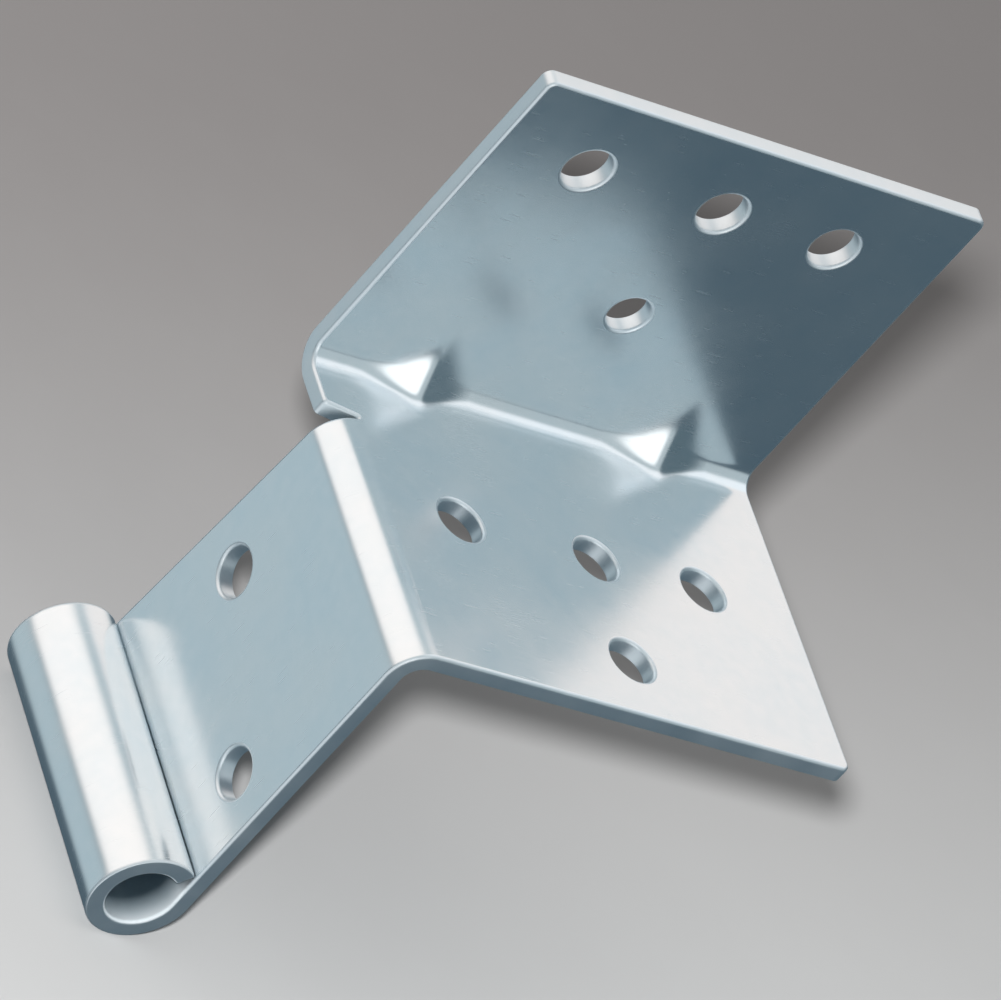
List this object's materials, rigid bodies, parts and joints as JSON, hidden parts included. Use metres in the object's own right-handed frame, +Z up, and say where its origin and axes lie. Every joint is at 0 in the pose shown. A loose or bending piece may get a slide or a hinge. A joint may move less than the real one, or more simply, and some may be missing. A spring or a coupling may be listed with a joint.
{
  "type": "roof bracket",
  "caption": "Folded steel corner bracket: base and upright plates at right angles, a side arm folded down and rolled into an open round eye, with screw holes in all faces.",
  "frame": {"origin": "where the three seating planes meet: the base's underside (Z = 0), the upright's back (Y = 0) and the arm's back (X = 0)", "axes": "+X along the long fold, away from the arm; +Y out of the upright's back; +Z up the upright, so that the arm hangs down"},
  "size_m": [0.099, 0.061, 0.1308],
  "materials": {
    "zinc_plated_steel": "bright zinc plating, glossy with a faint brushed grain"
  },
  "bodies": {
    "root": {"folded_plate": "zinc_plated_steel"}
  },
  "joints": []
}
